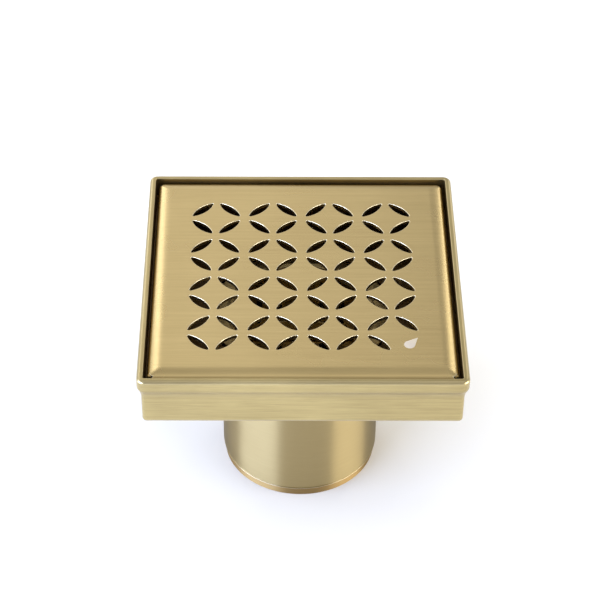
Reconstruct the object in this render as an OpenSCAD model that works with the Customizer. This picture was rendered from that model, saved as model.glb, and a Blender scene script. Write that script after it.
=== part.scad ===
// Square shower drain: a sheet metal pan with a round outlet, a lift-off
// perforated grate on four rubber-footed legs, and a lift-out hair strainer.
// Millimetres, +Z up. The origin is the centre of the outlet's lower end.

/* [Rim and pan] */
// Side of the square rim
rim_size = 101.6; // [84:0.2:160]
// Height from the outlet's lower end to the rim's top
overall_h = 76.2; // [60:0.2:140]
// Width of the rim's flat top
rim_w = 2; // [1.5:0.1:4]
// Radius of the rim's corners, seen from above
rim_corner_r = 2.6; // [2.6:0.1:8]
// Radius of the rim's outer top edge
rim_edge_r = 0.6; // [0.2:0.1:1.2]
// Height of the upright band under the rim
band_h = 4; // [2:0.1:8]
// Height of the sloping step below the band
step_h = 3.3; // [2:0.1:6]
// How far the step brings the wall in
step_in = 1.3; // [0.5:0.1:1.5]
// Depth of the pan, from the rim's top to its underside
pan_depth = 18.4; // [14:0.2:40]
// Thickness of the lower wall
wall_t = 2; // [1:0.1:4]
// Thickness of the pan's floor
floor_t = 2; // [1:0.1:4]
// Radius of the edge between the wall and the underside
pan_edge_r = 1; // [0.3:0.1:1]

/* [Outlet] */
// Outer diameter of the outlet pipe
outlet_od = 52; // [32:0.5:63]
// Wall of the outlet pipe
outlet_wall = 1.5; // [1:0.1:3]
// Height of the turned-down lead-in at the pipe's lower end
lead_in_h = 3.2; // [1:0.1:8]
// How much smaller the lead-in is, on the radius
lead_in_depth = 0.6; // [0.2:0.1:0.8]

/* [Grate] */
// Gap between the rim and the grate, all round
grate_gap = 1; // [0.5:0.1:2]
// How far the grate's top lies below the rim's top
grate_drop = 0.2; // [0.1:0.1:2]
// Thickness of the grate's sheet
grate_t = 1.2; // [0.8:0.1:2.5]
// Outer radius of the folded edges
bend_r = 2.6; // [2.6:0.1:5]
// Radius of the grate's corners, seen from above
grate_corner_r = 1.6; // [0.5:0.1:4]
// Width of the slit left open at each folded corner
relief_w = 1; // [0.6:0.1:3]
// Gap between the folded edge and the pan's inner ledge
skirt_gap = 0.8; // [0.3:0.1:2]

/* [Petal pattern] */
// Distance between the centres of two petal groups
cell_pitch = 18.7; // [16:0.1:30]
// Distance of a petal from its group's centre, along X and along Y
petal_offset = 4.45; // [4:0.05:6]
// Length of the lens that a petal is cut from, point to point
petal_lens = 9.9; // [6:0.1:11]
// Length of a petal between its blunt ends
petal_len = 9.3; // [5:0.1:10]
// Greatest width of a petal
petal_w = 2.85; // [1.5:0.05:4]
// Least plain border between the grate's edge and the pattern's cells
plain_border = 10; // [9:0.5:30]

/* [Legs] */
// Diameter of a leg
leg_d = 5; // [3:0.5:8]
// Distance from the grate's edge to the centre of a leg
leg_inset = 7.8; // [7:0.1:9]
// Diameter of a rubber foot
foot_d = 8; // [7:0.5:10]
// Height of a rubber foot
foot_h = 6; // [4:0.5:8]
// Rubber left under the leg
foot_sole = 2; // [1:0.5:3]

/* [Strainer] */
// Width of the seat round the outlet's mouth
seat_w = 5.5; // [4:0.1:7]
// Gap between the strainer's flange and the wall of its seat
flange_gap = 0.8; // [0.4:0.1:1.5]
// Gap between the cup and the outlet's bore
cup_gap = 2; // [1:0.1:4]
// Thickness of the strainer's sheet
strainer_t = 1.2; // [0.8:0.1:2]
// Depth of the cup below the top of its flange
cup_depth = 24; // [18:1:36]
// Least metal left between two slots
slot_gap = 5; // [4.5:0.1:8]
// Width of a slot
slot_w = 2.4; // [1:0.1:3]
// Metal left above and below the slots
slot_margin = 4; // [3:0.5:6]
// Diameter of the drain holes in the cup's floor
cup_hole_d = 4; // [2:0.5:5]
// Number of drain holes in the ring round the middle one
cup_hole_count = 8; // [4:1:10]
// Thickness of the gasket under the flange
gasket_t = 1; // [0.5:0.1:2]
// Diameter of the pull bar
bar_d = 3; // [2:0.5:4]
// Depth of the pull bar's centre below the flange's top
bar_depth = 12; // [8:1:14]
// Gap between the pull bar and its holes, on the radius
bar_gap = 0.05; // [0.02:0.01:0.1]

/* [Hidden] */

$fn = 96;
cut = 1;                                  // how far a cutting shape runs past a face
gold = "#c9b27c";
dark_gold = "#a8905a";
rubber_black = "#222222";

rim_half = rim_size / 2;
corner_axis = rim_half - rim_corner_r;    // where the plan corners are centred
mouth_half = rim_half - rim_w;            // opening inside the rim
basin_half = rim_half - step_in - wall_t; // opening below the ledge
basin_corner_r = 0.5;

rim_z = overall_h;
band_z = rim_z - band_h;
ledge_z = band_z - step_h;
pan_z = rim_z - pan_depth;
floor_z = pan_z + floor_t;

outlet_r = outlet_od / 2;
bore_r = outlet_r - outlet_wall;
seat_r = bore_r + seat_w;
seat_z = floor_z - gasket_t - strainer_t;
seat_under_z = seat_z - floor_t;

grate_half = mouth_half - grate_gap;
grate_z = rim_z - grate_drop;
grate_under_z = grate_z - grate_t;
skirt_z = ledge_z + skirt_gap;
leg_pos = grate_half - leg_inset;
leg_r = leg_d / 2;
cells = floor((2 * grate_half - 2 * plain_border) / cell_pitch);

flange_r = seat_r - flange_gap;
flange_z = floor_z - strainer_t;
cup_r = bore_r - cup_gap;
cup_inner_r = cup_r - strainer_t;
cup_z = floor_z - cup_depth;
cup_bend_r = 2;
slot_top_z = flange_z - slot_margin;
slot_bottom_z = cup_z + slot_margin;
bar_z = floor_z - bar_depth;
bar_r = bar_d / 2;
// an even number, so that the pull bar's holes fall between two slots
slot_count = 2 * floor(PI * cup_inner_r / (slot_w + slot_gap));
// midway between the middle drain hole and the cup's wall
hole_ring_r = (cup_hole_d / 2 + cup_inner_r) / 2;

// Square of half width h with corners of radius r, seen from above
module round_square(h, r) {
  square([2 * h, 2 * (h - r)], center = true);
  square([2 * (h - r), 2 * h], center = true);
  for (sx = [-1, 1], sy = [-1, 1]) translate([sx * (h - r), sy * (h - r)]) circle(r);
}

// The pan's outer outline from the corner axis outwards: X is the distance out, Y is the height
module pan_outline() {
  wall_x = rim_corner_r - step_in;
  // band with its rounded top edge
  translate([0, band_z]) square([rim_corner_r, band_h - rim_edge_r]);
  translate([0, band_z]) square([rim_corner_r - rim_edge_r, band_h]);
  translate([rim_corner_r - rim_edge_r, rim_z - rim_edge_r]) circle(rim_edge_r);
  // sloping step
  polygon([[0, band_z], [rim_corner_r, band_z], [wall_x, ledge_z], [0, ledge_z]]);
  // lower wall with its rounded bottom edge
  translate([0, pan_z + pan_edge_r]) square([wall_x, ledge_z - pan_z - pan_edge_r]);
  translate([0, pan_z]) square([wall_x - pan_edge_r, ledge_z - pan_z]);
  intersection() {
    translate([0, pan_z]) square([wall_x, pan_edge_r]);
    translate([wall_x - pan_edge_r, pan_z + pan_edge_r]) circle(pan_edge_r);
  }
}

// The pan's outer shape with no hollow: a core, four sides and four corners
module pan_block() {
  translate([-corner_axis, -corner_axis, pan_z]) cube([2 * corner_axis, 2 * corner_axis, pan_depth]);
  for (turn = [0 : 90 : 270]) rotate(turn) {
    translate([corner_axis, corner_axis, 0]) rotate([90, 0, 0])
      linear_extrude(2 * corner_axis) pan_outline();
    translate([corner_axis, corner_axis, 0]) rotate_extrude(angle = 90) pan_outline();
  }
}

module drain_pan() {
  color(gold) difference() {
    union() {
      pan_block();
      translate([0, 0, seat_under_z]) cylinder(h = floor_z - seat_under_z, r = seat_r + floor_t);
    }
    translate([0, 0, ledge_z]) linear_extrude(rim_z - ledge_z + cut)
      round_square(mouth_half, rim_corner_r - rim_w);
    translate([0, 0, floor_z]) linear_extrude(ledge_z - floor_z + cut)
      round_square(basin_half, basin_corner_r);
    translate([0, 0, seat_z]) cylinder(h = floor_z - seat_z + cut, r = seat_r);
    translate([0, 0, seat_under_z - cut]) cylinder(h = floor_z - seat_under_z, r = bore_r);
  }
}

module outlet_pipe() {
  color(gold) difference() {
    union() {
      translate([0, 0, lead_in_h]) cylinder(h = seat_under_z - lead_in_h, r = outlet_r);
      cylinder(h = lead_in_h, r = outlet_r - lead_in_depth);
    }
    translate([0, 0, -cut]) cylinder(h = seat_under_z + 2 * cut, r = bore_r);
  }
}

// One petal at the origin, long axis along X
module petal() {
  arc_r = (petal_lens * petal_lens + petal_w * petal_w) / (4 * petal_w);
  intersection() {
    translate([0, arc_r - petal_w / 2]) circle(arc_r);
    translate([0, petal_w / 2 - arc_r]) circle(arc_r);
    square([petal_len, petal_w + cut], center = true);
  }
}

// Groups of four petals in a square grid; one petal is left out at the front right corner
module petal_pattern() {
  first = -(cells - 1) / 2 * cell_pitch;
  for (column = [0 : cells - 1], row = [0 : cells - 1], sx = [-1, 1], sy = [-1, 1])
    if (!(column == cells - 1 && row == 0 && sx == 1 && sy == -1))
      translate([first + column * cell_pitch + sx * petal_offset,
                 first + row * cell_pitch + sy * petal_offset])
        rotate(-45 * sx * sy) petal();
}

// Outline across a folded tray: half width h, top at z1, foot at z0, upper edges of radius r
module tray_section(h, z0, z1, r) {
  translate([-h, z0]) square([2 * h, z1 - r - z0]);
  translate([r - h, z0]) square([2 * (h - r), z1 - z0]);
  for (side = [-1, 1]) translate([side * (h - r), z1 - r]) circle(r);
}

// Tray shape with its rounded edges mitred at the corners
module tray_block(h, z0, z1, r, corner_r) {
  intersection() {
    translate([0, h + cut, 0]) rotate([90, 0, 0]) linear_extrude(2 * (h + cut)) tray_section(h, z0, z1, r);
    translate([-h - cut, 0, 0]) rotate([90, 0, 90]) linear_extrude(2 * (h + cut)) tray_section(h, z0, z1, r);
    translate([0, 0, z0 - cut]) linear_extrude(z1 - z0 + 2 * cut) round_square(h, corner_r);
  }
}

module grate_plate() {
  inner_r = bend_r - grate_t;
  inner_half = grate_half - grate_t;
  color(gold) difference() {
    tray_block(grate_half, skirt_z, grate_z, bend_r, grate_corner_r);
    intersection() {
      translate([0, inner_half + cut, 0]) rotate([90, 0, 0]) linear_extrude(2 * (inner_half + cut))
        tray_section(inner_half, skirt_z - cut, grate_under_z, inner_r);
      translate([-inner_half - cut, 0, 0]) rotate([90, 0, 90]) linear_extrude(2 * (inner_half + cut))
        tray_section(inner_half, skirt_z - cut, grate_under_z, inner_r);
    }
    translate([0, 0, grate_under_z - cut]) linear_extrude(grate_t + 2 * cut) petal_pattern();
    for (turn = [45 : 90 : 315]) rotate(turn)
      translate([inner_half, -relief_w / 2, skirt_z - cut])
        cube([grate_half, relief_w, grate_z - bend_r / 2 - skirt_z + cut]);
  }
}

module grate_leg(sx, sy) {
  color(dark_gold) translate([sx * leg_pos, sy * leg_pos, floor_z + foot_sole])
    cylinder(h = grate_under_z - floor_z - foot_sole, r = leg_r);
}

module leg_foot(sx, sy) {
  color(rubber_black) translate([sx * leg_pos, sy * leg_pos, floor_z]) difference() {
    cylinder(h = foot_h, r = foot_d / 2);
    translate([0, 0, foot_sole]) cylinder(h = foot_h, r = leg_r);
  }
}

// Half section of the strainer: flange, rounded shoulder, wall and floor
module strainer_section() {
  translate([cup_r + cup_bend_r, flange_z]) square([flange_r - cup_r - cup_bend_r, strainer_t]);
  intersection() {
    difference() {
      translate([cup_r + cup_bend_r, flange_z - cup_bend_r]) circle(cup_bend_r + strainer_t);
      translate([cup_r + cup_bend_r, flange_z - cup_bend_r]) circle(cup_bend_r);
    }
    translate([cup_inner_r, flange_z - cup_bend_r])
      square([cup_bend_r + strainer_t, cup_bend_r + strainer_t]);
  }
  translate([cup_inner_r, cup_z]) square([strainer_t, flange_z - cup_bend_r - cup_z]);
  translate([0, cup_z]) square([cup_r, strainer_t]);
}

module strainer_cup() {
  slot_r = slot_w / 2;
  color(gold) difference() {
    rotate_extrude() strainer_section();
    for (i = [0 : slot_count - 1]) rotate((i + 0.5) * 360 / slot_count) {
      translate([0, -slot_r, slot_bottom_z + slot_r])
        cube([outlet_r, slot_w, slot_top_z - slot_bottom_z - slot_w]);
      for (z = [slot_bottom_z + slot_r, slot_top_z - slot_r])
        translate([cup_inner_r - cut, 0, z]) rotate([0, 90, 0]) cylinder(h = strainer_t + 2 * cut, r = slot_r);
    }
    translate([0, 0, cup_z - cut]) cylinder(h = strainer_t + 2 * cut, r = cup_hole_d / 2);
    for (i = [0 : cup_hole_count - 1]) rotate(i * 360 / cup_hole_count)
      translate([hole_ring_r, 0, cup_z - cut]) cylinder(h = strainer_t + 2 * cut, r = cup_hole_d / 2);
    translate([-outlet_r, 0, bar_z]) rotate([0, 90, 0]) cylinder(h = outlet_od, r = bar_r + bar_gap);
  }
}

module strainer_gasket() {
  color(rubber_black) translate([0, 0, seat_z]) difference() {
    cylinder(h = gasket_t, r = flange_r);
    translate([0, 0, -cut]) cylinder(h = gasket_t + 2 * cut, r = bore_r);
  }
}

module strainer_pull_bar() {
  color(dark_gold) translate([-cup_r, 0, bar_z]) rotate([0, 90, 0]) cylinder(h = 2 * cup_r, r = bar_r);
}

drain_pan();
outlet_pipe();
grate_plate();
grate_leg(-1, -1);  // grate_leg_front_left
grate_leg(1, -1);  // grate_leg_front_right
grate_leg(-1, 1);  // grate_leg_back_left
grate_leg(1, 1);  // grate_leg_back_right
leg_foot(-1, -1);  // leg_foot_front_left
leg_foot(1, -1);  // leg_foot_front_right
leg_foot(-1, 1);  // leg_foot_back_left
leg_foot(1, 1);  // leg_foot_back_right
strainer_cup();
strainer_gasket();
strainer_pull_bar();
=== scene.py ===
import math
import bmesh
import bpy
from mathutils import Matrix, Vector


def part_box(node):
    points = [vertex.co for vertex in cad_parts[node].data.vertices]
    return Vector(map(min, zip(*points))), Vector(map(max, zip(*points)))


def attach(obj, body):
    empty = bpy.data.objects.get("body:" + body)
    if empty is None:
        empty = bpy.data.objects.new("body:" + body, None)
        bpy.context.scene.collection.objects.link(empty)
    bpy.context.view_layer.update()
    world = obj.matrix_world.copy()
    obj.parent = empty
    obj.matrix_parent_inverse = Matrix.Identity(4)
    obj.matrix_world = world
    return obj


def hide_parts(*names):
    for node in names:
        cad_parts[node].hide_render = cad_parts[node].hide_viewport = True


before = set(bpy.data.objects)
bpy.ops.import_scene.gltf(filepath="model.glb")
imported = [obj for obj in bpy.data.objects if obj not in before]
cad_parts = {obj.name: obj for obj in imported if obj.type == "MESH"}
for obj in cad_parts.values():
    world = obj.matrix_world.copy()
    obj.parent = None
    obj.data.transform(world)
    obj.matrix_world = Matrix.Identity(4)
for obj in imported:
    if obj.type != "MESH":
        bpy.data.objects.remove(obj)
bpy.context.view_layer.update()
print("frame loaded:", len(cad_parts), "nodes")

panLow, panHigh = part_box("drain_pan")
pipeLow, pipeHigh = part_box("outlet_pipe")
grateLow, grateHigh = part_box("grate_plate")
cupLow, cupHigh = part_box("strainer_cup")
gasketLow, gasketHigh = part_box("strainer_gasket")
barLow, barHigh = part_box("strainer_pull_bar")
rimHalf, rimTop = panHigh.x, panHigh.z
floorTop = cupHigh.z  # the strainer's flange lies level with the pan's floor
holdStep = 0.0001  # a close row beside a rounded edge keeps the flat beside it flat

cameraSet = {
    "lens": 126.0,
    "sensor": 36.0,
    "tilt": 41.457,  # degrees below the horizon
    "swing": -1.006,  # degrees about the vertical
    "roll": 0.792,
    "place": (-0.00946, -0.51034, 0.43941),  # from the middle of the rim's top
    "clip": (0.01, 20),
}


def placeObject(name, data):
    placed = bpy.data.objects.new(name, data)
    bpy.context.scene.collection.objects.link(placed)
    return placed


def makeCamera(size):
    data = bpy.data.cameras.new("studioCamera")
    data.lens, data.sensor_width = size["lens"], size["sensor"]
    data.clip_start, data.clip_end = size["clip"]
    camera = placeObject("studioCamera", data)
    camera.matrix_world = (
        Matrix.Translation(Vector(size["place"]) + Vector((0, 0, rimTop)))
        @ Matrix.Rotation(math.radians(size["swing"]), 4, "Z")
        @ Matrix.Rotation(math.radians(90 - size["tilt"]), 4, "X")
        @ Matrix.Rotation(math.radians(size["roll"]), 4, "Z")
    )
    bpy.context.scene.camera = camera


makeCamera(cameraSet)
print("camera placed")

# node helpers, for materials and for geometry nodes

floatType, intType, vectorType = "NodeSocketFloat", "NodeSocketInt", "NodeSocketVector"
meshType, materialType, objectType = "NodeSocketGeometry", "NodeSocketMaterial", "NodeSocketObject"


def nodeTools(tree):
    # add() places a node and fills or links its inputs; calc() is a maths node
    def add(kind, inputs=None, **settings):
        node = tree.nodes.new(kind)
        for key, value in settings.items():
            setattr(node, key, value)
        for key, value in (inputs or {}).items():
            if isinstance(value, bpy.types.NodeSocket):
                tree.links.new(value, node.inputs[key])
            else:
                node.inputs[key].default_value = value
        return node

    def calc(operation, *values):
        return add("ShaderNodeMath", dict(enumerate(values)), operation=operation).outputs[0]

    return add, calc


def mapRange(add, value, fromLow, fromHigh, toLow=0.0, toHigh=1.0):
    # a value moved from one range to another, and held inside it
    return add("ShaderNodeMapRange", {0: value, 1: fromLow, 2: fromHigh, 3: toLow, 4: toHigh}).outputs[0]


def mixColours(add, amount, first, second):
    # blends two colours, each of them a socket or three numbers
    first, second = [
        colour if isinstance(colour, bpy.types.NodeSocket) else colour + (1,) for colour in (first, second)
    ]
    return add("ShaderNodeMix", {0: amount, 6: first, 7: second}, data_type="RGBA").outputs[2]


def newTree(name, kind, inputs, outputs):
    # a node tree with named sockets: (label, type, value) going in, (label, type) coming out
    tree = bpy.data.node_groups.new(name, kind)
    for label, socketType, value in inputs:
        socket = tree.interface.new_socket(label, in_out="INPUT", socket_type=socketType)
        if value is not None:
            socket.default_value = value
    for label, socketType in outputs:
        tree.interface.new_socket(label, in_out="OUTPUT", socket_type=socketType)
    return tree


# finishes

def makeBrushedGrain():
    # streaks along one direction: Stretch is (along X, Y, Z), in streaks per metre
    tree = newTree(
        "brushedGrain", "ShaderNodeTree",
        [("Vector", vectorType, None), ("Stretch", vectorType, (40, 4000, 4000)), ("Cloud", floatType, 30)],
        [("Streaks", floatType), ("Patches", floatType)],
    )
    add, calc = nodeTools(tree)
    given = add("NodeGroupInput").outputs
    stretched = add("ShaderNodeVectorMath", {0: given["Vector"], 1: given["Stretch"]}, operation="MULTIPLY")
    fine = add("ShaderNodeTexNoise", {
        "Vector": stretched.outputs[0], "Scale": 1, "Detail": 3, "Roughness": 0.6,
    })
    wide = add("ShaderNodeTexNoise", {"Vector": stretched.outputs[0], "Scale": 0.23, "Detail": 2})
    streaks = calc("MULTIPLY_ADD", wide.outputs["Fac"], 0.4, calc("MULTIPLY", fine.outputs["Fac"], 0.6))
    clouds = add("ShaderNodeTexNoise", {"Vector": given["Vector"], "Scale": given["Cloud"], "Detail": 4})
    result = add("NodeGroupOutput").inputs
    tree.links.new(streaks, result["Streaks"])
    tree.links.new(clouds.outputs["Fac"], result["Patches"])
    return tree


def makeEdgeWearAndHighlight():
    # 0 on flat metal, towards 1 on rounded outer edges, broken up by small scratches; the pale edge colour it
    # drives is partly real edge abrasion and partly painted highlight, fullest on the petal lips
    tree = newTree(
        "edgeWearAndHighlight", "ShaderNodeTree",
        [("Vector", vectorType, None), ("Edge", floatType, 0.0), ("Speck Scale", floatType, 2500)],
        [("WearAndHighlight", floatType)],
    )
    add, calc = nodeTools(tree)
    given = add("NodeGroupInput").outputs
    specks = add("ShaderNodeTexNoise", {
        "Vector": given["Vector"], "Scale": given["Speck Scale"], "Detail": 2,
    }).outputs["Fac"]
    wearAndHighlight = calc("MULTIPLY", given["Edge"], mapRange(add, specks, 0.35, 0.6, 0.8))
    tree.links.new(wearAndHighlight, add("NodeGroupOutput").inputs["WearAndHighlight"])
    return tree


brushedGrain, edgeWearAndHighlight = makeBrushedGrain(), makeEdgeWearAndHighlight()


def makeGold(name, look):
    # brushed, gold coated steel; the dictionary holds its colours, grain and gloss
    material = bpy.data.materials.new(name)
    material.use_nodes = True
    tree = material.node_tree
    tree.nodes.clear()
    add, calc = nodeTools(tree)
    if look["mitred"]:
        place = add("ShaderNodeAttribute", attribute_name="brushPlace").outputs["Vector"]
    else:
        place = add("ShaderNodeTexCoord").outputs["Object"]
    grain = add("ShaderNodeGroup", node_tree=brushedGrain)
    tree.links.new(place, grain.inputs["Vector"])
    grain.inputs["Stretch"].default_value = look["stretch"]
    grain.inputs["Cloud"].default_value = look["cloud"]
    wearAndHighlight = add("ShaderNodeGroup", node_tree=edgeWearAndHighlight)
    tree.links.new(place, wearAndHighlight.inputs["Vector"])
    rounded = add("ShaderNodeAttribute", attribute_name="roundedEdge").outputs["Fac"]
    tree.links.new(rounded, wearAndHighlight.inputs["Edge"])
    streaks, patches = grain.outputs["Streaks"], grain.outputs["Patches"]
    mixed = calc("MULTIPLY_ADD", patches, 0.4, calc("MULTIPLY", streaks, 0.6))
    colour = mixColours(add, mapRange(add, mixed, 0.35, 0.65), look["dark"], look["light"])
    # pale colour on rounded edges: partly edge abrasion, partly painted highlight
    rubbedAndHighlight = mixColours(add, calc("MULTIPLY", wearAndHighlight.outputs["WearAndHighlight"], look["wearAndHighlight"]), colour, look["wornAndHighlight"])
    # the mask lays a dark painted shade over the pan's basin and the pipe's bore, and the pipe's own cut-end
    # colour on its end band
    shadeAndRawMask = add("ShaderNodeAttribute", attribute_name="shadeAndRawFinish").outputs["Fac"]
    gloss = mapRange(add, patches, 0.3, 0.7, *look["roughness"])
    bump = add("ShaderNodeBump", {"Height": streaks, "Strength": look["bump"], "Distance": 0.00002})
    shader = add(
        "ShaderNodeBsdfPrincipled",
        {
            "Base Color": mixColours(add, shadeAndRawMask, rubbedAndHighlight, look["shadeAndRawColour"]),
            "Metallic": 1.0,
            "Roughness": calc("MULTIPLY_ADD", shadeAndRawMask, 0.25, gloss),
            "Anisotropic": look["pull"],
            "Anisotropic Rotation": look["pullTurn"],
            # painted shade: a dark edge tint on the pipe darkens its grazing edges
            "Specular Tint": look["edgeShadeTint"] + (1,),
            "Coat Weight": look["coat"],
            "Coat Roughness": look["coatRoughness"],
            "Normal": bump.outputs[0],
        },
    )
    output = add("ShaderNodeOutputMaterial")
    tree.links.new(shader.outputs[0], output.inputs[0])
    return material


def makeRubber(name, look):
    # matt black rubber with a fine moulded grain and a little dust
    material = bpy.data.materials.new(name)
    material.use_nodes = True
    tree = material.node_tree
    tree.nodes.clear()
    add = nodeTools(tree)[0]
    place = add("ShaderNodeTexCoord").outputs["Object"]
    grain = add("ShaderNodeTexNoise", {"Vector": place, "Scale": look["grain"], "Detail": 4}).outputs["Fac"]
    dust = add("ShaderNodeTexNoise", {"Vector": place, "Scale": look["dustScale"], "Detail": 3}).outputs[0]
    dusty = mapRange(add, dust, 0.4, 0.75, 0.0, look["dust"])
    bump = add("ShaderNodeBump", {"Height": grain, "Strength": 0.4, "Distance": 0.00005})
    shader = add(
        "ShaderNodeBsdfPrincipled",
        {
            "Base Color": mixColours(add, dusty, look["colour"], look["dustColour"]),
            "Roughness": mapRange(add, grain, 0.3, 0.7, *look["roughness"]),
            "Normal": bump.outputs[0],
        },
    )
    output = add("ShaderNodeOutputMaterial")
    tree.links.new(shader.outputs[0], output.inputs[0])
    return material


goldLook = {
    "dark": (0.50, 0.375, 0.165),
    "light": (0.62, 0.475, 0.22),
    # pale edge colour, partly abrasion and partly painted highlight on the lips
    "wornAndHighlight": (0.92, 0.84, 0.64),
    "shadeAndRawColour": (0.20, 0.115, 0.035),  # painted shade: dark colour for the metal inside the basin, which also gets rougher
    "wearAndHighlight": 0.7,
    "mitred": False,
    "stretch": (70, 4500, 4500),
    "cloud": 25,
    "roughness": (0.25, 0.31),
    "bump": 0.25,
    "pull": 0.0,
    "pullTurn": 0.0,
    "edgeShadeTint": (1.0, 1.0, 1.0),
    "coat": 0.25,
    "coatRoughness": 0.25,
}
grateGold = makeGold("grateBrushedGold", goldLook)
panGold = makeGold(
    "panBrushedGold",
    goldLook | {
        "dark": (0.355, 0.273, 0.121), "light": (0.545, 0.438, 0.205), "wearAndHighlight": 0.35, "roughness": (0.3, 0.38),
        "stretch": (130, 5000, 5000), "mitred": True, "bump": 0.5,
    },
)
pipeGold = makeGold(
    "pipeTurnedGold",
    goldLook | {
        # the pipe's own cut-end colour for its end band, also painted shade in its bore
        "dark": (0.42, 0.325, 0.155), "light": (0.45, 0.35, 0.17), "shadeAndRawColour": (0.45, 0.30, 0.12), "cloud": 60,
        "stretch": (300, 300, 5000), "roughness": (0.38, 0.42), "pull": 0.95, "pullTurn": 0.25, "bump": 0.05,
        # painted shade: the strong blue-grey edge tint darkens the pipe's grazing edges
        "edgeShadeTint": (0.1, 0.2, 0.45), "coat": 0.1,
    },
)
legGold = makeGold("legTurnedGold", goldLook | {"stretch": (600, 600, 6000), "roughness": (0.25, 0.3)})
strainerGold = makeGold(
    "strainerSatinGold", goldLook | {"stretch": (900, 900, 900), "roughness": (0.25, 0.34)},
)
markGold = makeGold(
    "etchedMarkGold",
    goldLook | {"dark": (0.8, 0.72, 0.62), "light": (0.93, 0.86, 0.78), "roughness": (0.5, 0.6)},
)
rubberLook = {
    "colour": (0.018, 0.018, 0.019),
    "dustColour": (0.2, 0.19, 0.17),
    "dust": 0.35,
    "roughness": (0.55, 0.8),
    "grain": 2500,
    "dustScale": 160,
}
blackRubber = makeRubber("footBlackRubber", rubberLook)
gasketRubber = makeRubber("gasketBlackRubber", rubberLook | {"dust": 0.15})
print("finishes made")

# mesh helpers


def softLine(corners, steps=6):
    # a polyline of (out, up, radius, ...) with each corner rounded; extra values are blended along
    points = []
    for i, corner in enumerate(corners):
        here, radius, extra = Vector(corner[:2]), corner[2], list(corner[3:])
        if radius == 0 or i in (0, len(corners) - 1):
            points.append((*here, *extra))
            continue
        back = (Vector(corners[i - 1][:2]) - here).normalized()
        ahead = (Vector(corners[i + 1][:2]) - here).normalized()
        half = back.angle(ahead) / 2
        reach = radius / math.tan(half)
        centre = here + (back + ahead).normalized() * (radius / math.sin(half))
        first, last = here + back * reach - centre, here + ahead * reach - centre
        turn = first.angle_signed(last)
        points.append((*(here + back * (reach + holdStep)), *extra))
        for step in range(steps + 1):
            points.append((*(centre + Matrix.Rotation(-turn * step / steps, 2) @ first), *extra))
        points.append((*(here + ahead * (reach + holdStep)), *extra))
    return points


def turnedRing(radius, z, angles, centre=(0, 0)):
    return [Vector((centre[0] + radius * math.cos(a), centre[1] + radius * math.sin(a), z)) for a in angles]


def cornerAngles(steps):
    return [math.pi / 2 * step / steps for step in range(steps + 1)]


def squareRing(half, corner, z, cornerSteps, sideShares):
    # a rounded square seen from above, anticlockwise; sideShares place the columns along each side
    axis = half - corner
    points = []
    for quarter in range(4):
        turn = Matrix.Rotation(quarter * math.pi / 2, 3, "Z")
        for angle in cornerAngles(cornerSteps):
            across, back = axis + corner * math.cos(angle), axis + corner * math.sin(angle)
            points.append(turn @ Vector((across, back, z)))
        for share in sideShares:
            points.append(turn @ Vector((-axis * share, half, z)))
    return points


def bridgeRings(rings, closed):
    # one mesh of quads between neighbouring rings of equal length
    mesh = bmesh.new()
    rows = [[mesh.verts.new(point) for point in ring] for ring in rings]
    pairs = list(zip(rows, rows[1:])) + ([(rows[-1], rows[0])] if closed else [])
    for low, high in pairs:
        for i in range(len(low)):
            j = (i + 1) % len(low)
            mesh.faces.new((low[i], low[j], high[j], high[i]))
    return mesh, rows


def finishPiece(name, mesh, material, sharpAngle=38, shadeAndRawFinish=None):
    # merges seams, points faces outwards, shades the rounded edges smooth; the optional function of (x, y, z)
    # gives 0 to 1, the amount of painted shade in recesses and of cut-end colour
    if isinstance(mesh, bmesh.types.BMesh):
        data = bpy.data.meshes.new(name)
        mesh.to_mesh(data)
        mesh.free()
    else:
        data = mesh
    clean = bmesh.new()
    clean.from_mesh(data)
    bmesh.ops.remove_doubles(clean, verts=clean.verts, dist=1e-6)
    bmesh.ops.recalc_face_normals(clean, faces=clean.faces)
    clean.to_mesh(data)
    openEdges = sum(1 for edge in clean.edges if len(edge.link_faces) != 2)
    bends = []
    for vertex in clean.verts:
        bends.append(max((edge.calc_face_angle_signed(0) for edge in vertex.link_edges), default=0))
    gentle, tight = math.radians(12), math.radians(21)  # bends between these get more and more of the pale edge colour, partly abrasion and partly painted highlight
    clean.free()
    rounded = data.attributes.new("roundedEdge", "FLOAT", "POINT")
    rounded.data.foreach_set("value", [min(max((bend - gentle) / (tight - gentle), 0), 1) for bend in bends])
    if shadeAndRawFinish:
        # painted shade amounts for recesses, and cut-end colour on the pipe
        shadeAndRawMask = data.attributes.new("shadeAndRawFinish", "FLOAT", "POINT")
        shadeAndRawMask.data.foreach_set("value", [shadeAndRawFinish(*vertex.co) for vertex in data.vertices])
    data.shade_smooth()
    data.set_sharp_from_angle(angle=math.radians(sharpAngle))
    data.materials.clear()
    data.materials.append(material)
    piece = placeObject(name, data)
    print(name, "made:", len(data.polygons), "faces,", openEdges, "open edges")
    return piece


def brushAlongSides(data):
    # turns the brushing round with the four sides, so that it runs along each of them
    places = data.attributes.new("brushPlace", "FLOAT_VECTOR", "CORNER")
    for face in data.polygons:
        swapped = abs(face.center.x) > abs(face.center.y)
        for loop in face.loop_indices:
            x, y, z = data.vertices[data.loops[loop].vertex_index].co
            places.data[loop].vector = (y, x + 0.5, z) if swapped else (x, y, z)


def latheMesh(corners, centre=(0, 0), steps=96, closed=False, bend=5):
    # turns a soft outline about the upright line through centre; a point at radius 0 closes its end
    angles = [2 * math.pi * i / steps for i in range(steps)]
    outline = softLine(corners, bend)
    rings = [turnedRing(max(out, 0), up, angles, centre) for out, up in outline]
    return bridgeRings(rings, closed)[0]


# pan

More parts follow.
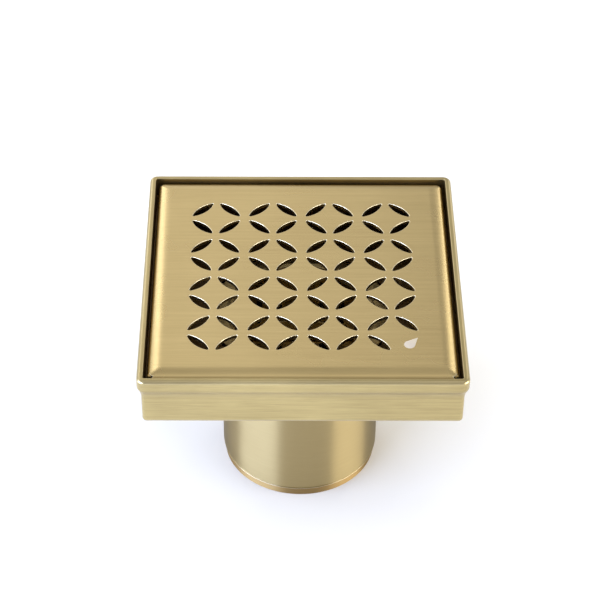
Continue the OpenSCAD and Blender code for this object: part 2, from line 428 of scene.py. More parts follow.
panSet = {
    "rimWidth": 0.0020,
    "cornerAxis": 0.0482,  # where the plan corners are centred
    "rimEdge": 0.0011,
    "mouthEdge": 0.00025,
    "bandHeight": 0.0041,
    "stepHeight": 0.0024,
    "stepIn": 0.0013,
    "stepTop": 0.0028,  # radius at the top of the step
    "stepFoot": 0.0075,
    "bottomEdge": 0.0016,
    "wall": 0.0020,
    "ledgeDrop": 0.0073,
    "basinCorner": 0.0005,
    "basinFillet": 0.0012,
    "ledgeFoot": 0.0003,
    "ledgeEdge": 0.0004,
    "boreRadius": 0.0245,
    "seatRadius": 0.0300,
    "seatWall": 0.0020,
    "seatEdge": 0.0004,
    "seatLip": 0.0006,  # edges of the seat's housing underneath
    "floorRun": 0.0040,  # flat floor kept beside the seat and beside the walls
    "underRun": 0.0030,
    "cornerSteps": 8,
    "sideColumns": 23,
}


def makePan(size):
    top, under, seatUnder = rimTop, floorTop - size["wall"], panLow.z
    mouth = rimHalf - size["rimWidth"]
    lower = rimHalf - size["stepIn"]
    basin = lower - size["wall"]
    ledge = top - size["ledgeDrop"]
    bandFoot = top - size["bandHeight"]
    stepFoot = bandFoot - size["stepHeight"]
    axis, basinAxis = size["cornerAxis"], basin - size["basinCorner"]
    seatTop = seatUnder + size["wall"]
    housing = size["seatRadius"] + size["seatWall"]
    columns, run = size["sideColumns"] - 1, size["floorRun"]
    shares = [math.tan(math.pi / 4 * (2 * i / columns - 1)) for i in range(columns + 1)]
    shares[0], shares[-1] = -1 + holdStep / axis * 3, 1 - holdStep / axis * 3
    square = softLine([
        (basin - run, floorTop, 0, basinAxis),
        (basin, floorTop, size["basinFillet"], basinAxis),
        (basin, ledge, size["ledgeFoot"], basinAxis),
        (mouth, ledge, size["ledgeEdge"], axis),
        (mouth, top, size["mouthEdge"], axis),
        (rimHalf, top, size["rimEdge"], axis),
        (rimHalf, bandFoot, size["stepTop"], axis),
        (lower, stepFoot, size["stepFoot"], axis),
        (lower, under, size["bottomEdge"], axis),
        (axis - size["underRun"], under, 0, axis - run),
    ])
    rings = []
    for out, up, ringAxis in square:
        corner = max(out - ringAxis, 0.00015)
        rings.append(squareRing(out, corner, up, size["cornerSteps"], shares))
    around = [math.atan2(point.y, point.x) for point in rings[0]]
    seat = softLine([
        (housing + run * 1.5, under, 0),
        (housing, under, size["seatLip"]),
        (housing, seatUnder, 0.0005),
        (size["boreRadius"], seatUnder, 0),
        (size["boreRadius"], seatTop, 0.0002),
        (size["seatRadius"], seatTop, 0.0004),
        (size["seatRadius"], floorTop, size["seatEdge"]),
        (size["seatRadius"] + run, floorTop, 0),
    ])
    rings += [turnedRing(out, up, around) for out, up in seat]

    # painted shade: the basin's inner walls and floor, a recess, get the dark colour
    def inBasin(x, y, z):
        within = max(abs(x), abs(y)) < mouth + 0.00005
        return 1.0 if within and seatTop - holdStep < z < top - size["mouthEdge"] - 0.0002 else 0.0

    piece = finishPiece("panShell", bridgeRings(rings, True)[0], panGold, shadeAndRawFinish=inBasin)
    brushAlongSides(piece.data)
    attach(piece, "pan")
    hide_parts("drain_pan")


makePan(panSet)

# outlet pipe

pipeSet = {
    "radius": 0.0260,
    "bore": 0.0245,
    "endBand": 0.0032,  # height of the turned-down lead-in
    "endBandIn": 0.0006,
    "groove": 0.0004,
    "weld": 0.0008,
    "endEdge": 0.0004,
}


def makePipe(size):
    low, high = pipeLow.z, pipeHigh.z
    radius, bore = size["radius"], size["bore"]
    band, groove = radius - size["endBandIn"], size["groove"]
    outline = [
        (radius + size["weld"], high, 0),
        (radius, high - size["weld"], 0.0005),
        (radius, low + size["endBand"] + groove * 2.5, 0.0001),
        (radius - groove, low + size["endBand"] + groove * 2, 0.0001),
        (radius - groove, low + size["endBand"] + groove, 0.0001),
        (radius, low + size["endBand"] + groove * 0.5, 0.0001),
        (band, low + size["endBand"] - 0.0003, 0.0002),
        (band, low, size["endEdge"]),
        (bore, low, 0.0003),
        (bore, high, 0),
    ]

    # the turned end band gets the pipe's cut-end colour; the bore inside gets it as painted shade
    def onCutEnd(x, y, z):
        return 0.8 if z < low + size["endBand"] - 0.0001 or math.hypot(x, y) < bore + holdStep else 0.0

    mesh = latheMesh(outline, steps=192, closed=True)
    piece = finishPiece("outletPipe", mesh, pipeGold, shadeAndRawFinish=onCutEnd)
    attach(piece, "pan")
    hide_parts("outlet_pipe")


makePipe(pipeSet)

# geometry nodes shared by the grate and the strainer


holeSizes = ["Side Radius", "Side Centre", "Tip Radius", "Tip Centre", "Tip Angle", "Lip", "Sheet", "Hold"]


def makeRoundedHole():
    # one hole with a rounded lip, its long axis along X, its top at Z 0. The outline is two side arcs
    # and two tip arcs, walked by the angle of its normal, and a grid is wrapped round it
    tree = newTree(
        "roundedHole", "GeometryNodeTree",
        [(label, floatType, 0.001) for label in holeSizes] + [("Steps", intType, 40)],
        [("Mesh", meshType)],
    )
    add, calc = nodeTools(tree)
    given = add("NodeGroupInput").outputs
    rows = 9
    grid = add("GeometryNodeMeshGrid", {
        "Size X": 1.0, "Size Y": rows - 1, "Vertices X": calc("ADD", given["Steps"], 1), "Vertices Y": rows,
    })
    split = add("ShaderNodeSeparateXYZ", {0: add("GeometryNodeInputPosition").outputs[0]}).outputs
    around = calc("MULTIPLY", calc("ADD", split[0], 0.5), 2 * math.pi)
    row = calc("ADD", split[1], (rows - 1) / 2)
    cosine, sine = calc("COSINE", around), calc("SINE", around)
    # fold every quarter onto the first one: 0 at the tip, 1 at the middle of the side
    fold = calc("DIVIDE", calc("ARCCOSINE", calc("MINIMUM", calc("ABSOLUTE", cosine), 1)), math.pi / 2)
    tipShare = 0.4
    inTip = calc("LESS_THAN", fold, tipShare + 0.001)
    tipPart = mapRange(add, fold, 0.0, tipShare, 0.0, given["Tip Angle"])
    sideTurn = calc("SUBTRACT", math.pi / 2, given["Tip Angle"])
    sidePart = mapRange(add, fold, tipShare, 1.0, 0.0, sideTurn)
    angle = calc("ADD", tipPart, sidePart)
    inSide = calc("SUBTRACT", 1, inTip)
    radius = calc("MULTIPLY_ADD", given["Tip Radius"], inTip, calc("MULTIPLY", given["Side Radius"], inSide))
    # rows 0 and 1 lie flat, 1 to 5 round the lip, 5 to 7 go down the cut, 8 lies flat underneath
    lipTurn = mapRange(add, row, 1.0, 5.0, 0.0, math.pi / 2)
    flatTop = mapRange(add, row, 0.0, 1.0, given["Hold"], 0.0)
    flatUnder = mapRange(add, row, 7.0, 8.0, 0.0, given["Hold"])
    lipOut = calc("MULTIPLY", given["Lip"], calc("SUBTRACT", 1, calc("SINE", lipTurn)))
    spread = calc("ADD", calc("ADD", flatTop, flatUnder), lipOut)
    lipDown = calc("MULTIPLY", given["Lip"], calc("SUBTRACT", 1, calc("COSINE", lipTurn)))
    straight = calc("SUBTRACT", given["Sheet"], given["Lip"])
    cutDown = mapRange(add, row, 5.0, 7.0, 0.0, straight)
    reach = calc("ADD", radius, spread)
    across = calc("MULTIPLY_ADD", reach, calc("COSINE", angle), calc("MULTIPLY", given["Tip Centre"], inTip))
    sideDrop = calc("MULTIPLY", given["Side Centre"], inSide)
    along = calc("SUBTRACT", calc("MULTIPLY", reach, calc("SINE", angle)), sideDrop)
    place = add("ShaderNodeCombineXYZ", {
        0: calc("MULTIPLY", across, calc("SIGN", calc("ADD", cosine, 1e-6))),
        1: calc("MULTIPLY", along, calc("SIGN", calc("ADD", sine, 1e-6))),
        2: calc("SUBTRACT", 0, calc("ADD", lipDown, cutDown)),
    })
    moved = add("GeometryNodeSetPosition", {"Geometry": grid.outputs["Mesh"], "Position": place.outputs[0]})
    joined = add("GeometryNodeMergeByDistance", {"Geometry": moved.outputs[0], "Distance": 1e-6})
    tree.links.new(joined.outputs[0], add("NodeGroupOutput").inputs["Mesh"])
    return tree


def makeSheetFill():
    # fills the flat sheet between open rings of edges, once at its top and once at its underside
    tree = newTree(
        "sheetFill", "GeometryNodeTree",
        [("Mesh", meshType, None), ("Top", floatType, 0), ("Sheet", floatType, 0.001),
         ("Metal", materialType, None)],
        [("Mesh", meshType)],
    )
    add, calc = nodeTools(tree)
    given = add("NodeGroupInput").outputs
    height = add("ShaderNodeSeparateXYZ", {0: add("GeometryNodeInputPosition").outputs[0]}).outputs[2]
    faces = add("GeometryNodeInputMeshEdgeNeighbors").outputs[0]
    openEdge = calc("COMPARE", faces, 1, 0.1)
    parts = [given["Mesh"]]
    for level in (given["Top"], calc("SUBTRACT", given["Top"], given["Sheet"])):
        here = calc("MULTIPLY", openEdge, calc("COMPARE", height, level, 1e-5))
        rings = add("GeometryNodeMeshToCurve", {"Mesh": given["Mesh"], "Selection": here})
        filled = add("GeometryNodeFillCurve", {"Curve": rings.outputs[0]})
        lift = add("ShaderNodeCombineXYZ", {2: level})
        flat = add("GeometryNodeTransform", {"Geometry": filled.outputs[0], "Translation": lift.outputs[0]})
        parts.append(flat.outputs[0])
    together = add("GeometryNodeJoinGeometry")
    for part in reversed(parts):
        tree.links.new(part, together.inputs[0])
    merged = add("GeometryNodeMergeByDistance", {"Geometry": together.outputs[0], "Distance": 2e-6})
    finished = add("GeometryNodeSetMaterial", {"Geometry": merged.outputs[0], "Material": given["Metal"]})
    tree.links.new(finished.outputs[0], add("NodeGroupOutput").inputs["Mesh"])
    return tree


roundedHole, sheetFill = makeRoundedHole(), makeSheetFill()


def petalShape(lens, width, tipRadius):
    # a pointed lens with its two points rounded off
    sideRadius = (lens * lens + width * width) / (4 * width)
    sideCentre = sideRadius - width / 2
    tipCentre = math.sqrt((sideRadius - tipRadius) ** 2 - sideCentre ** 2)
    return {
        "Side Radius": sideRadius,
        "Side Centre": sideCentre,
        "Tip Radius": tipRadius,
        "Tip Centre": tipCentre,
        "Tip Angle": math.atan2(sideCentre, tipCentre),
    }


def roundShape(radius):
    return {
        "Side Radius": radius,
        "Side Centre": 0.0,
        "Tip Radius": radius,
        "Tip Centre": 0.0,
        "Tip Angle": math.pi / 4,
    }


def linkGroup(tree, group, values):
    # places a node group and gives its inputs numbers, sockets or other values by their labels
    node = tree.nodes.new("GeometryNodeGroup")
    node.node_tree = group
    for label, value in values.items():
        if isinstance(value, bpy.types.NodeSocket):
            tree.links.new(value, node.inputs[label])
        else:
            node.inputs[label].default_value = value
    return node


def runTree(piece, tree, values):
    # runs the tree on the piece and keeps the result as a plain mesh
    modifier = piece.modifiers.new(tree.name, "NODES")
    modifier.node_group = tree
    for item in tree.interface.items_tree:
        if item.item_type == "SOCKET" and item.in_out == "INPUT" and item.name in values:
            modifier[item.identifier] = values[item.name]
    bpy.context.view_layer.update()
    shown = piece.evaluated_get(bpy.context.evaluated_depsgraph_get())
    mesh = bpy.data.meshes.new_from_object(shown)
    piece.modifiers.remove(modifier)
    bpy.data.objects.remove(piece)
    return mesh


# grate

grateSet = {
    "sheet": 0.0012,
    "flatHalf": 0.0428,  # half width of the flat field
    "shoulderTurn": 20.0,  # degrees turned by the wide shoulder before the tight fold
    "foldRadius": 0.0020,
    "plainCorner": 0.0006,  # plan corner radius of the flat field
    "outerCorner": 0.0016,
    "cornerHold": (0.0002, 0.0010),  # close columns on each side of a corner
    "slitDrop": 0.0008,  # how far down the slit at each folded corner starts
    "slitSteps": 4,
    "cornerSteps": 10,
    "Cell Pitch": 0.0187,
    "Petal Offset": 0.00445,
    "Cells": 4,
    "petalLens": 0.0099,
    "petalWidth": 0.00285,
    "petalTip": 0.0004,
    "Lip": 0.00023,
    "Hold": 0.00008,
    "Steps": 40,
}


def grateRows(size):
    # outer and inner points of the folded sheet, from the flat field to the foot of the skirt
    sheet, turn, fold = size["sheet"], math.radians(size["shoulderTurn"]), size["foldRadius"]
    half, top, foot = grateHigh.x, grateHigh.z, grateLow.z
    wide = (half - size["flatHalf"] - holdStep - fold * (1 - math.sin(turn))) / math.sin(turn)
    start = size["flatHalf"] + holdStep
    rows = [(size["flatHalf"], top, 0.0), (start, top, 0.0)]
    steps = 10
    for i in range(1, steps + 1):
        angle = turn * i / steps
        rows.append((start + wide * math.sin(angle), top - wide * (1 - math.cos(angle)), angle))
    centreOut, centreUp = half - fold, rows[-1][1] - fold * math.cos(turn)
    for i in range(1, steps + 1):
        angle = turn + (math.pi / 2 - turn) * i / steps
        rows.append((centreOut + fold * math.sin(angle), centreUp + fold * math.cos(angle), angle))
    rows.append((half, rows[-1][1] - holdStep, math.pi / 2))
    rows.append((half, foot, math.pi / 2))
    return [(out, up, out - sheet * math.sin(a), up - sheet * math.cos(a)) for out, up, a in rows]


def makeGrateFrame(size):
    # the folded border of the grate; the flat field is left open for the perforated sheet
    rows = grateRows(size)
    flat, half = size["flatHalf"], grateHigh.x
    near, far = [hold / half for hold in size["cornerHold"]]
    shares = [near - 1, far - 1, 0.0, 1 - far, 1 - near]
    steps = size["cornerSteps"]

    def ring(out, up, corner):
        return squareRing(out, corner, up, steps, shares)

    outerRings, innerRings = [], []
    for out, up, innerOut, innerUp in rows:
        grown = (out - flat) / (half - flat)
        corner = size["plainCorner"] + (size["outerCorner"] - size["plainCorner"]) * grown
        outerRings.append(ring(out, up, corner))
        innerRings.append(ring(innerOut, innerUp, max(corner - (out - innerOut), size["plainCorner"])))
    mesh = bmesh.new()
    outer = [[mesh.verts.new(p) for p in points] for points in outerRings]
    inner = [[mesh.verts.new(p) for p in points] for points in innerRings]
    count, block = len(outer[0]), steps + 1 + len(shares)
    firstSlit, lastSlit = steps // 2 - size["slitSteps"], steps // 2 + size["slitSteps"]
    slitRow = next(i for i, row in enumerate(rows) if rows[0][1] - row[1] > size["slitDrop"])
    for i in range(count):
        j, column = (i + 1) % count, i % block
        inSlit = firstSlit <= column < lastSlit
        last = slitRow if inSlit else len(rows) - 1
        for row in range(last):
            mesh.faces.new((outer[row][i], outer[row][j], outer[row + 1][j], outer[row + 1][i]))
            mesh.faces.new((inner[row][i], inner[row + 1][i], inner[row + 1][j], inner[row][j]))
        mesh.faces.new((outer[last][i], outer[last][j], inner[last][j], inner[last][i]))
        if column in (firstSlit, lastSlit):
            for row in range(slitRow, len(rows) - 1):
                mesh.faces.new((outer[row][i], outer[row + 1][i], inner[row + 1][i], inner[row][i]))
    bmesh.ops.delete(mesh, geom=[v for v in mesh.verts if not v.link_faces], context="VERTS")
    data = bpy.data.meshes.new("grateFrame")
    mesh.to_mesh(data)
    mesh.free()
    return placeObject("grateFrame", data)


def makePetalSheet():
    # groups of four petals on a square grid, one petal left out at the front right corner
    tree = newTree(
        "petalSheet", "GeometryNodeTree",
        [("Mesh", meshType, None), ("Cell Pitch", floatType, 0.0187), ("Petal Offset", floatType, 0.0045),
         ("Cells", intType, 4), ("Top", floatType, 0.0), ("Steps", intType, 40),
         ("Metal", materialType, None)]
        + [(label, floatType, 0.001) for label in holeSizes],
        [("Mesh", meshType)],
    )
    add, calc = nodeTools(tree)
    given = add("NodeGroupInput").outputs
    span = calc("MULTIPLY", given["Cell Pitch"], calc("SUBTRACT", given["Cells"], 1))
    grid = add("GeometryNodeMeshGrid", {
        "Size X": span, "Size Y": span, "Vertices X": given["Cells"], "Vertices Y": given["Cells"],
    })
    pairSpan = calc("MULTIPLY", given["Petal Offset"], 2)
    pairs = add("GeometryNodeMeshGrid", {
        "Size X": pairSpan, "Size Y": pairSpan, "Vertices X": 2, "Vertices Y": 2,
    })
    place = add("ShaderNodeSeparateXYZ", {0: add("GeometryNodeInputPosition").outputs[0]}).outputs
    side = calc("SIGN", calc("MULTIPLY", place[0], place[1]))
    turned = add("GeometryNodeStoreNamedAttribute", {
        "Geometry": pairs.outputs["Mesh"], "Name": "petalTurn", "Value": calc("MULTIPLY", side, -math.pi / 4),
    })
    groups = add("GeometryNodeInstanceOnPoints", {
        "Points": grid.outputs["Mesh"], "Instance": turned.outputs[0],
    })
    spots = add("GeometryNodeRealizeInstances", {"Geometry": groups.outputs[0]})
    limit = calc("MULTIPLY", span, 0.5)
    atRight = calc("GREATER_THAN", place[0], limit)
    atFront = calc("LESS_THAN", place[1], calc("SUBTRACT", 0, limit))
    kept = add("GeometryNodeDeleteGeometry", {
        "Geometry": spots.outputs[0], "Selection": calc("MULTIPLY", atRight, atFront),
    })
    hole = linkGroup(tree, roundedHole, {label: given[label] for label in holeSizes + ["Steps"]})
    angle = add("GeometryNodeInputNamedAttribute", {"Name": "petalTurn"}).outputs[0]
    turn = add("ShaderNodeCombineXYZ", {2: angle})
    holes = add("GeometryNodeInstanceOnPoints", {
        "Points": kept.outputs[0], "Instance": hole.outputs[0], "Rotation": turn.outputs[0],
    })
    lift = add("ShaderNodeCombineXYZ", {2: given["Top"]})
    real = add("GeometryNodeRealizeInstances", {"Geometry": holes.outputs[0]})
    raised = add("GeometryNodeTransform", {"Geometry": real.outputs[0], "Translation": lift.outputs[0]})
    together = add("GeometryNodeJoinGeometry")
    tree.links.new(raised.outputs[0], together.inputs[0])
    tree.links.new(given["Mesh"], together.inputs[0])
    filled = linkGroup(tree, sheetFill, {
        "Mesh": together.outputs[0], "Top": given["Top"], "Sheet": given["Sheet"], "Metal": given["Metal"],
    })
    tree.links.new(filled.outputs[0], add("NodeGroupOutput").inputs["Mesh"])
    return tree


def makeGrate(size):
    border = makeGrateFrame(size)
    values = {label: size[label] for label in ("Cell Pitch", "Petal Offset", "Cells", "Lip", "Hold", "Steps")}
    values |= petalShape(size["petalLens"], size["petalWidth"], size["petalTip"])
    values |= {"Top": grateHigh.z, "Sheet": size["sheet"], "Metal": grateGold}
    mesh = runTree(border, makePetalSheet(), values)
    piece = finishPiece("grateCover", mesh, grateGold)
    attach(piece, "grate")
    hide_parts("grate_plate")


makeGrate(grateSet)

# legs, welded under the grate, each with a rubber foot

legSet = {
    "names": ("front_left", "front_right", "back_left", "back_right"),
    "weld": 0.0009,
    "weldFillet": 0.0012,
    "tipEdge": 0.0003,
    "footEdge": 0.0009,
    "footGroove": 0.0004,
    "footRings": 2,
    "footTaper": 0.0004,
}


def makeLeg(name, size):
    low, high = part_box("grate_leg_" + name)
    centre = ((low.x + high.x) / 2, (low.y + high.y) / 2)
    radius = (high.x - low.x) / 2
    outline = [
        (0, low.z, 0),
        (radius, low.z, size["tipEdge"]),
        (radius, high.z - size["weld"] * 1.3, size["weldFillet"]),
        (radius + size["weld"], high.z - 0.0001, 0.0001),
        (radius + size["weld"] * 0.9, high.z, 0),
        (0, high.z, 0),
    ]
    piece = finishPiece("grateLeg_" + name, latheMesh(outline, centre, 64), legGold)
    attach(piece, "grate")
    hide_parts("grate_leg_" + name)


def makeFoot(name, size):
    low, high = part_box("leg_foot_" + name)
    legLow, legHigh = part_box("grate_leg_" + name)
    centre = ((low.x + high.x) / 2, (low.y + high.y) / 2)
    radius, bore = (high.x - low.x) / 2, (legHigh.x - legLow.x) / 2
    outline = [(0, low.z, 0), (radius, low.z, size["footEdge"])]
    for ring in range(size["footRings"]):
        up = low.z + (high.z - low.z) * (ring + 1.1) / (size["footRings"] + 1.2)
        groove = size["footGroove"]
        outline += [
            (radius, up - groove, 0.00012),
            (radius - groove, up - groove * 0.6, 0.0002),
            (radius - groove, up + groove * 0.6, 0.0002),
            (radius, up + groove, 0.00012),
        ]
    outline += [
        (radius - size["footTaper"], high.z, 0.0005),
        (bore, high.z, 0.0002),
        (bore, legLow.z, 0),
        (0, legLow.z, 0),
    ]
    piece = finishPiece("legFoot_" + name, latheMesh(outline, centre, 64), blackRubber)
    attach(piece, "grate")
    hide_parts("leg_foot_" + name)


for legName in legSet["names"]:
    makeLeg(legName, legSet)
    makeFoot(legName, legSet)

# strainer cup, its gasket and its pull bar

cupSet = {
    "wallOuter": 0.0225,
    "Sheet": 0.0012,
    "bend": 0.0020,  # inner radius where the flange turns down into the wall
    "floorBend": 0.0018,
    "flangeEdge": 0.0003,
    "openFloor": 0.0185,  # radius of the floor that the drilled disc fills
    "slotLow": 0.0040,  # from the cup's underside to the foot of the slots
    "slotHigh": 0.0040,  # from the flange's underside to the top of the slots
    "slotBand": 0.0010,  # plain metal above and below the slots, in the slotted band
    "slotWidth": 0.0024,
    "Slots": 18,
    "Holes": 8,
    "holeRadius": 0.0020,
    "Ring Radius": 0.01165,
    "Lip": 0.0002,
    "Hold": 0.00006,
    "Steps": 40,
    "turnSteps": 144,
}


def slotRing(width, height, capSteps, sideSteps):
    # a slot's outline in (across, up), anticlockwise from the right end of its foot
    half, straight = width / 2, (height - width) / 2
    points = []
    for side in (1, -1):
        for step in range(capSteps):
            angle = math.pi * step / capSteps
            points.append((side * half * math.cos(angle), side * (straight + half * math.sin(angle))))
        for step in range(sideSteps):
            points.append((-side * half, side * straight * (1 - 2 * step / sideSteps)))
    return points


def cellRing(width, height, capSteps, sideSteps):
    # the rectangle round one slot, with the same number of points
    points = []
    for side in (1, -1):
        for step in range(capSteps):
            points.append((side * (width / 2 - width * step / capSteps), side * height / 2))
        for step in range(sideSteps):
            points.append((-side * width / 2, side * height / 2 * (1 - 2 * step / sideSteps)))
    return points


def makeSlotCell(size, low, high, footUp, topUp):
    # one slot with the piece of curved wall round it; copies of it make the slotted band
    outer, sheet, lip = size["wallOuter"], size["Sheet"], size["Lip"]
    turn = 2 * math.pi / size["Slots"]
    caps, sides = size["turnSteps"] // size["Slots"], 8
    middle = (low + high) / 2
    slotMiddle, slotHeight = (footUp + topUp) / 2, topUp - footUp
    rings = []

    def wrap(points, radius, lift):
        rings.append([
            Vector((radius * math.cos(a / outer), radius * math.sin(a / outer), up + lift))
            for a, up in points
        ])

    wrap(cellRing(turn * outer, high - low, caps, sides), outer, middle)
    for inside in (False, True):
        depths = [(lip + size["Hold"], 0)]
        for step in range(5):
            angle = math.pi / 2 * step / 4
            depths.append((lip * (1 - math.sin(angle)), lip * (1 - math.cos(angle))))
        for grow, depth in reversed(depths) if inside else depths:
            radius = outer - sheet + depth if inside else outer - depth
            slot = slotRing(size["slotWidth"] + 2 * grow, slotHeight + 2 * grow, caps, sides)
            wrap(slot, radius, slotMiddle)
    wrap(cellRing(turn * outer, high - low, caps, sides), outer - sheet, middle)
    mesh = bridgeRings(rings, False)[0]
    bmesh.ops.rotate(mesh, verts=mesh.verts, cent=(0, 0, 0), matrix=Matrix.Rotation(turn / 2, 3, "Z"))
    data = bpy.data.meshes.new("slotCell")
    mesh.to_mesh(data)
    mesh.free()
    return placeObject("slotCell", data)


def makeDrilledCup():
    # copies of the slot cell round the wall, and a ring of drain holes with one in the middle
    tree = newTree(
        "drilledCup", "GeometryNodeTree",
        [("Mesh", meshType, None), ("Slot Cell", objectType, None), ("Slots", intType, 18),
         ("Holes", intType, 8), ("Ring Radius", floatType, 0.01), ("Top", floatType, 0.0),
         ("Steps", intType, 40), ("Metal", materialType, None)]
        + [(label, floatType, 0.001) for label in holeSizes],
        [("Mesh", meshType)],
    )
    add, calc = nodeTools(tree)
    given = add("NodeGroupInput").outputs
    index = add("GeometryNodeInputIndex").outputs[0]
    places = add("GeometryNodeMeshLine", {"Count": given["Slots"], "Offset": (0, 0, 0)}).outputs[0]
    oneSlot = calc("DIVIDE", 2 * math.pi, given["Slots"])
    turn = add("ShaderNodeCombineXYZ", {2: calc("MULTIPLY", index, oneSlot)}).outputs[0]
    cell = add("GeometryNodeObjectInfo", {"Object": given["Slot Cell"]}).outputs["Geometry"]
    band = add("GeometryNodeInstanceOnPoints", {"Points": places, "Instance": cell, "Rotation": turn})
    ring = add("GeometryNodeCurvePrimitiveCircle", {
        "Resolution": given["Holes"], "Radius": given["Ring Radius"],
    }).outputs["Curve"]
    ringSpots = add("GeometryNodeCurveToPoints", {"Curve": ring}, mode="EVALUATED").outputs["Points"]
    middleSpot = add("GeometryNodePoints", {"Count": 1}).outputs[0]
    spots = add("GeometryNodeJoinGeometry")
    tree.links.new(ringSpots, spots.inputs[0])
    tree.links.new(middleSpot, spots.inputs[0])
    hole = linkGroup(tree, roundedHole, {label: given[label] for label in holeSizes + ["Steps"]})
    holes = add("GeometryNodeInstanceOnPoints", {"Points": spots.outputs[0], "Instance": hole.outputs[0]})
    lift = add("ShaderNodeCombineXYZ", {2: given["Top"]})
    real = add("GeometryNodeRealizeInstances", {"Geometry": holes.outputs[0]})
    raised = add("GeometryNodeTransform", {"Geometry": real.outputs[0], "Translation": lift.outputs[0]})
    realBand = add("GeometryNodeRealizeInstances", {"Geometry": band.outputs[0]})
    together = add("GeometryNodeJoinGeometry")
    for part in (raised.outputs[0], realBand.outputs[0], given["Mesh"]):
        tree.links.new(part, together.inputs[0])
    merged = add("GeometryNodeMergeByDistance", {"Geometry": together.outputs[0], "Distance": 2e-6})
    filled = linkGroup(tree, sheetFill, {
        "Mesh": merged.outputs[0], "Top": given["Top"], "Sheet": given["Sheet"], "Metal": given["Metal"],
    })
    tree.links.new(filled.outputs[0], add("NodeGroupOutput").inputs["Mesh"])
    return tree


def makeCup(size):
    low, high, edge = cupLow.z, cupHigh.z, cupHigh.x
    outer, sheet = size["wallOuter"], size["Sheet"]
    inner, flangeUnder = outer - sheet, high - sheet
    footUp, topUp = low + size["slotLow"], flangeUnder - size["slotHigh"]
    bandLow, bandHigh = footUp - size["slotBand"], topUp + size["slotBand"]
    flange = softLine([
        (inner, bandHigh, 0),
        (inner, high, size["bend"] + sheet),
        (edge, high, size["flangeEdge"]),
        (edge, flangeUnder, size["flangeEdge"]),
        (outer, flangeUnder, size["bend"]),
        (outer, bandHigh, 0),
    ], 8)
    foot = softLine([
        (outer, bandLow, 0),
        (outer, low, size["floorBend"]),
        (size["openFloor"], low, 0),
    ])
    floorLine = softLine([
        (size["openFloor"], low + sheet, 0),
        (inner, low + sheet, size["floorBend"] - sheet),
        (inner, bandLow, 0),
    ])
    angles = [2 * math.pi * i / size["turnSteps"] for i in range(size["turnSteps"])]
    base = bpy.data.meshes.new("cupBase")
    whole = bmesh.new()
    for outline in (flange, foot, floorLine):
        part = bridgeRings([turnedRing(out, up, angles) for out, up in outline], False)[0]
        part.to_mesh(base)
        part.free()
        whole.from_mesh(base)
    whole.to_mesh(base)
    whole.free()
    cup = placeObject("cupBase", base)
    cell = makeSlotCell(size, bandLow, bandHigh, footUp, topUp)
    labels = ("Slots", "Holes", "Ring Radius", "Lip", "Sheet", "Hold", "Steps")
    values = {label: size[label] for label in labels}
    values |= roundShape(size["holeRadius"])
    values |= {"Slot Cell": cell, "Top": low + sheet, "Metal": strainerGold}
    mesh = runTree(cup, makeDrilledCup(), values)
    bpy.data.objects.remove(cell)
    piece = finishPiece("strainerCup", mesh, strainerGold)
    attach(piece, "strainer")
    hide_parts("strainer_cup")


makeCup(cupSet)

gasketSet = {"bore": 0.0245, "edge": 0.0003, "bead": 0.0002}


def makeGasket(size):
    low, high, edge = gasketLow.z, gasketHigh.z, gasketHigh.x
    middle = (low + high) / 2
    outline = [
        (size["bore"], low, size["edge"]),
        (edge - size["bead"], low, size["bead"]),
        (edge, middle, size["edge"]),
        (edge - size["bead"], high, size["bead"]),
        (size["bore"], high, size["edge"]),
    ]
    outline = [(size["bore"], middle, 0)] + outline + [(size["bore"], middle + holdStep, 0)]
    piece = finishPiece("strainerGasket", latheMesh(outline, steps=144, closed=True), gasketRubber)
    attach(piece, "strainer")
    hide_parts("strainer_gasket")


makeGasket(gasketSet)

barSet = {"weld": 0.0009, "weldFillet": 0.0012, "endEdge": 0.0003, "wallInner": 0.0213}


def makePullBar(size):
    radius, reach, up = (barHigh.z - barLow.z) / 2, barHigh.x, (barLow.z + barHigh.z) / 2
    inner, weld = size["wallInner"], size["weld"]
    half = [
        (radius, inner - weld * 1.6, size["weldFillet"]),
        (radius + weld, inner + 0.0001, 0.0001),
        (radius, inner + 0.0002, 0),
        (radius, reach, size["endEdge"]),
        (0, reach, 0),
    ]
    outline = [(out, -along, soft) for out, along, soft in reversed(half)] + half
    mesh = latheMesh(outline, steps=48)
    lay = Matrix.Translation((0, 0, up)) @ Matrix.Rotation(math.pi / 2, 4, "Y")
    bmesh.ops.transform(mesh, matrix=lay, verts=mesh.verts)
    piece = finishPiece("strainerPullBar", mesh, legGold)
    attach(piece, "strainer")
    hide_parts("strainer_pull_bar")


makePullBar(barSet)

# a plain etched drop where the pattern leaves one petal out

markSet = {"place": (0.0330, -0.0335), "turn": -40.0, "radius": 0.0017, "point": 0.0042, "rise": 0.00003}


def makeMark(size):
    # a drop: most of a circle, and two straight sides that meet in a point
    radius, point = size["radius"], size["point"]
    touch = math.acos(radius / point)
    steps = 28
    outline = [(0.0, point)]
    for step in range(steps + 1):
        angle = math.pi / 2 + touch + (2 * math.pi - 2 * touch) * step / steps
        outline.append((radius * math.cos(angle), radius * math.sin(angle)))
    turn = Matrix.Rotation(math.radians(size["turn"]), 2)
    top = grateHigh.z + size["rise"]
    rings = []
    for up, grow in ((grateHigh.z - size["rise"], 1.0), (top - size["rise"] / 3, 1.0), (top, 0.97)):
        ring = []
        for x, y in outline:
            spot = turn @ Vector((x * grow, y * grow)) + Vector(size["place"])
            ring.append(Vector((*spot, up)))
        rings.append(ring)
    mesh, rows = bridgeRings(rings, False)
    mesh.faces.new(rows[-1])
    mesh.faces.new(rows[0])
    piece = finishPiece("etchedDrop", mesh, markGold)
    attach(piece, "grate")


makeMark(markSet)

# stage and light

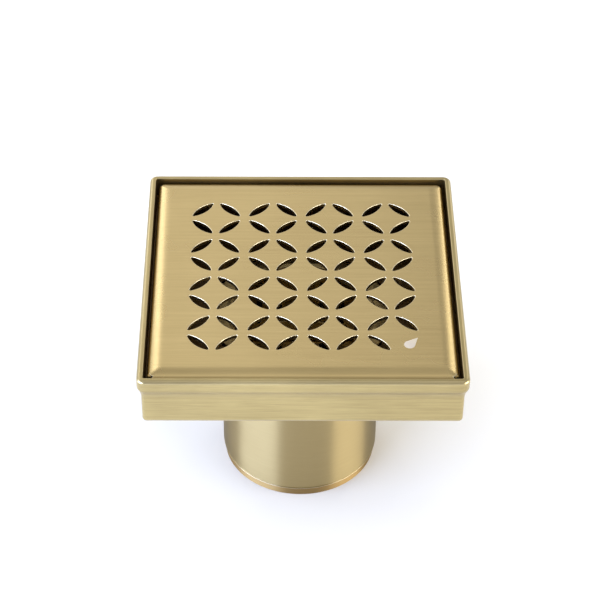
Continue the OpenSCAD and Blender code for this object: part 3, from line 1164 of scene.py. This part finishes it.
stageSet = {
    "floorSize": 6.0,
    "floorColour": (0.9, 0.9, 0.89),
    "world": 0.6,
    "aim": (0, 0, 0.06),
    # each panel: degrees round from the back towards the right, degrees up, distance, width, height,
    # glow, colour, and whether the metal mirrors it
    "panels": {
        "backPanel": (-24, 28, 0.9, 0.84, 0.95, 0.42, (1, 0.99, 0.97), True),
        "overPanel": (180, 80, 0.9, 0.9, 0.45, 0.35, (1, 0.99, 0.97), True),
        "leftStrip": (-29, 32, 0.9, 0.14, 0.6, 1.95, (0.95, 0.98, 1.05), True),
        "rightStrip": (36, 26, 0.9, 0.12, 0.6, 2.2, (1, 0.97, 0.92), True),
        "leftPanel": (-85, 33, 0.8, 0.5, 0.35, 1.85, (0.95, 0.98, 1.05), True),
        "leftWall": (-124, 10, 0.7, 0.72, 0.4, 7.5, (0.82, 1.0, 1.5), True),
        "rightWall": (114, 10, 0.7, 0.6, 0.36, 6.0, (1, 0.97, 0.9), True),
        "floorLight": (0, 88, 1.4, 2.0, 2.0, 0.6, (1, 1, 1), False),
    },
}


def makeStage(size):
    half = size["floorSize"] / 2
    data = bpy.data.meshes.new("studioFloor")
    corners = [(-half, -half, 0), (half, -half, 0), (half, half, 0), (-half, half, 0)]
    data.from_pydata(corners, [], [(0, 1, 2, 3)])
    floor = placeObject("studioFloor", data)
    material = bpy.data.materials.new("studioFloor")
    material.use_nodes = True
    tree = material.node_tree
    tree.nodes.clear()
    add = nodeTools(tree)[0]
    paint = add("ShaderNodeBsdfDiffuse", {"Color": size["floorColour"] + (1,)})
    clear = add("ShaderNodeBsdfTransparent")
    below = add("ShaderNodeNewGeometry").outputs["Backfacing"]
    mix = add("ShaderNodeMixShader", {0: below, 1: paint.outputs[0], 2: clear.outputs[0]})
    tree.links.new(mix.outputs[0], add("ShaderNodeOutputMaterial").inputs[0])
    data.materials.append(material)
    world = bpy.data.worlds.new("studioWorld")
    world.use_nodes = True
    world.node_tree.nodes["Background"].inputs[0].default_value = (1, 1, 1, 1)
    world.node_tree.nodes["Background"].inputs[1].default_value = size["world"]
    bpy.context.scene.world = world
    for name, (around, up, distance, width, height, glow, colour, mirrored) in size["panels"].items():
        lamp = bpy.data.lights.new(name, "AREA")
        lamp.shape, lamp.size, lamp.size_y, lamp.color = "RECTANGLE", width, height, colour
        lamp.energy = glow * math.pi * width * height
        light = placeObject(name, lamp)
        side, rise = math.radians(around), math.radians(up)
        away = Vector((math.sin(side) * math.cos(rise), math.cos(side) * math.cos(rise), math.sin(rise)))
        light.location = Vector(size["aim"]) + away * distance
        light.rotation_euler = (-away).to_track_quat("-Z", "Y").to_euler()
        light.visible_camera, light.visible_glossy = False, mirrored
    bpy.context.scene.view_settings.view_transform = "Standard"


makeStage(stageSet)
print("stage lit")
